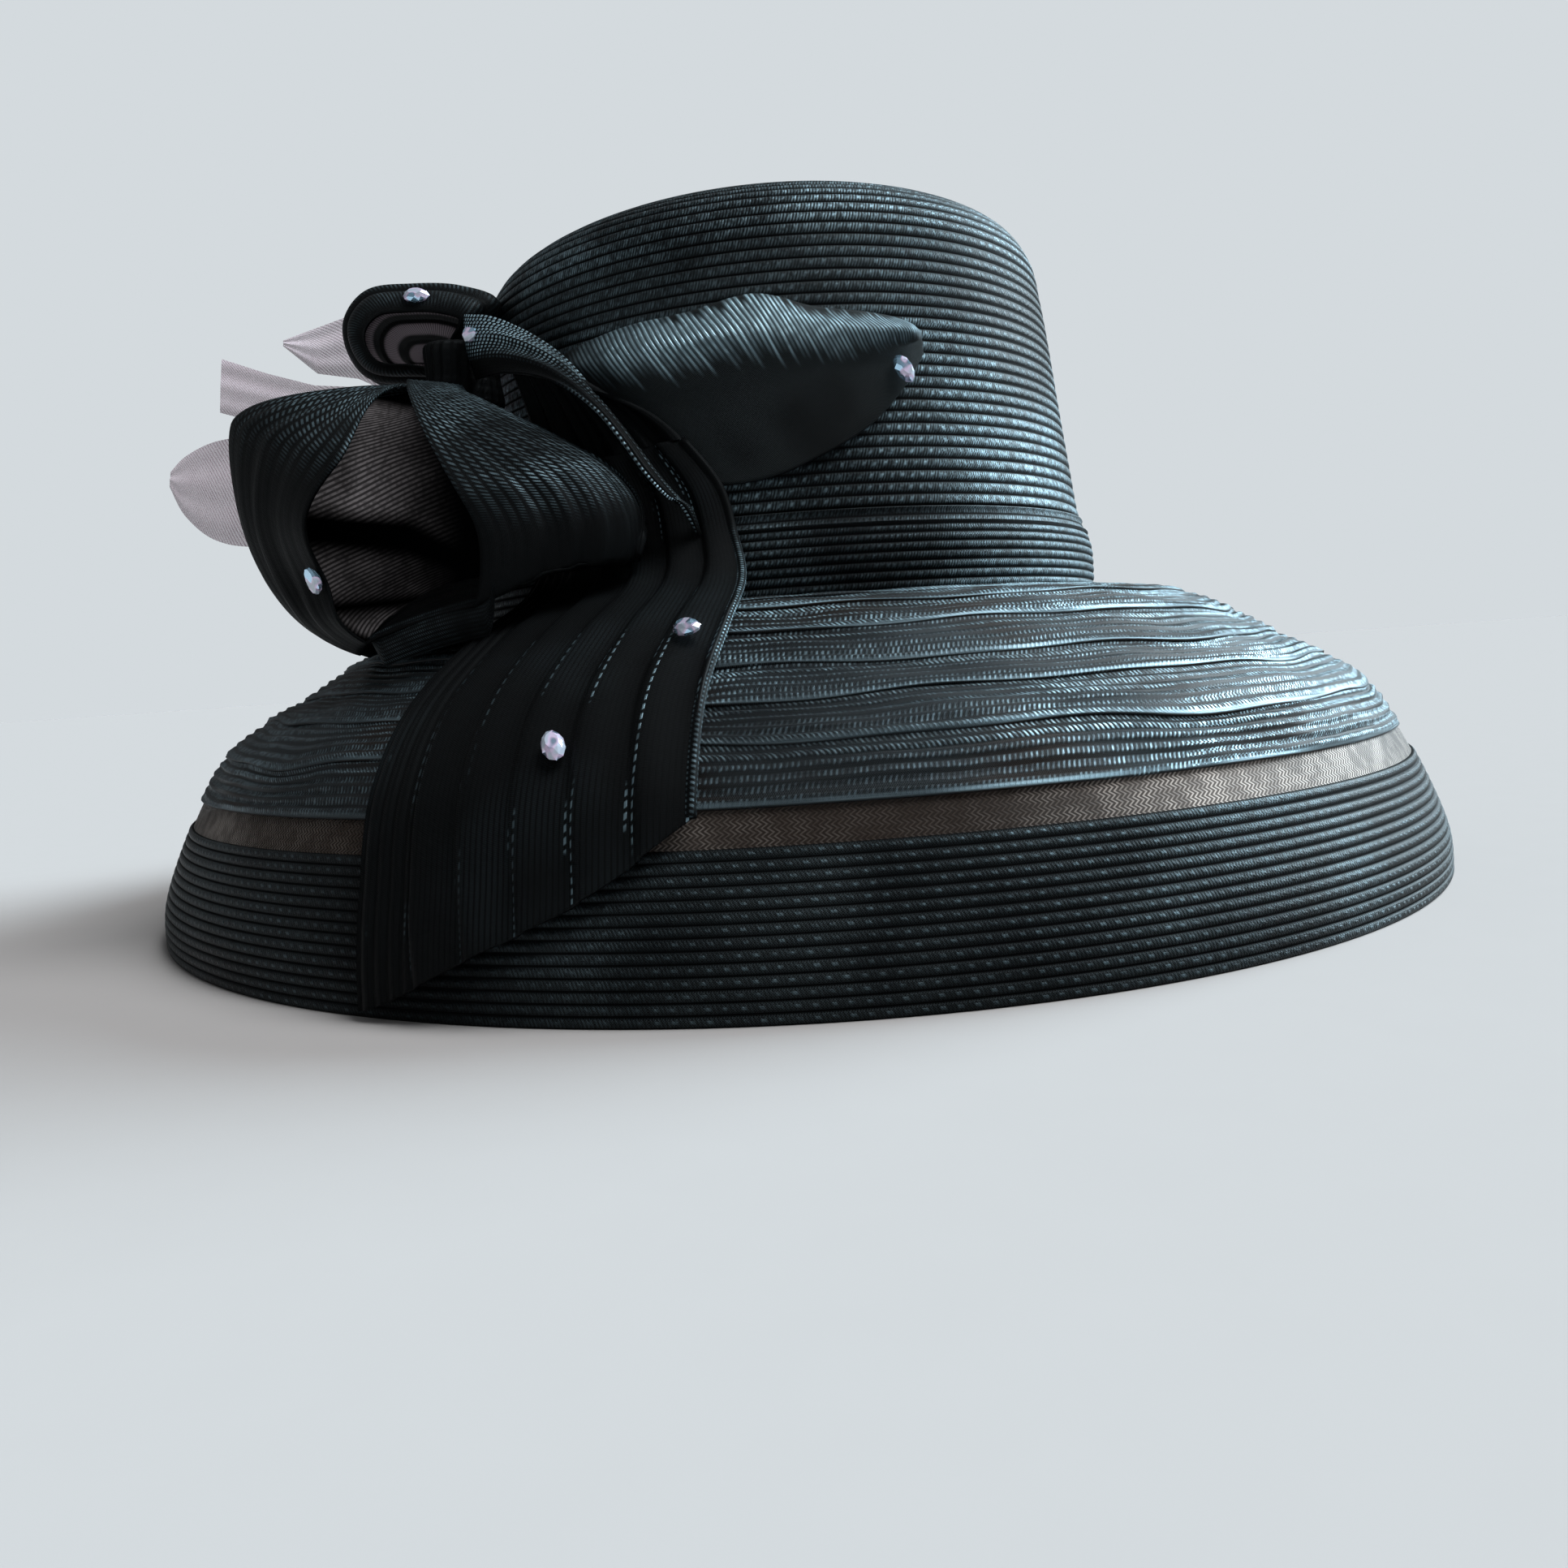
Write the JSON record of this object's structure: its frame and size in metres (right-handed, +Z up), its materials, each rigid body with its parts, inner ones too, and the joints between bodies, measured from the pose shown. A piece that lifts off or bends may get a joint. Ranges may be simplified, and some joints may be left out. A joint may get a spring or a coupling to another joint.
{
  "type": "wide-brimmed dress hat of crinoline braid with a bow",
  "caption": "Dress hat of black crinoline braid with a deep down-turned wide brim, a tapered round crown and a pleated bow with clear stones at the wearer's right; it rests on its rim.",
  "frame": {"origin": "middle of the rim, on the surface that the hat rests on", "axes": "+Z up, -Y towards the wearer's front, -X towards the wearer's right, where the bow is"},
  "size_m": [0.3498, 0.3702, 0.181],
  "materials": {
    "narrow_braid": "black sewn horsehair braid with a satin sheen",
    "wide_braid": "black wide crinoline braid, glossy, slightly see-through",
    "sheer_braid": "single see-through layer of black crinoline",
    "bow_cloth": "pleated black crinoline with bright glints",
    "pale_sheer": "pale grey see-through crinoline",
    "clear_stone": "clear cut stone with a mirrored back"
  },
  "bodies": {
    "root": {"crown": "narrow_braid", "crown_band": "narrow_braid", "brim_top": "wide_braid", "brim_sheer_strip": "sheer_braid", "brim_edge_band": "narrow_braid", "bow_knot": "bow_cloth", "bow_leaf": "bow_cloth", "bow_tail": "bow_cloth", "bow_loop_large": "bow_cloth", "bow_loop_front": "bow_cloth", "bow_loop_back": "bow_cloth", "sheer_tip_1": "pale_sheer", "sheer_tip_2": "pale_sheer", "sheer_tip_3": "pale_sheer", "stone_1": "clear_stone", "stone_2": "clear_stone", "stone_3": "clear_stone", "stone_4": "clear_stone", "stone_5": "clear_stone", "stone_6": "clear_stone"}
  },
  "joints": []
}
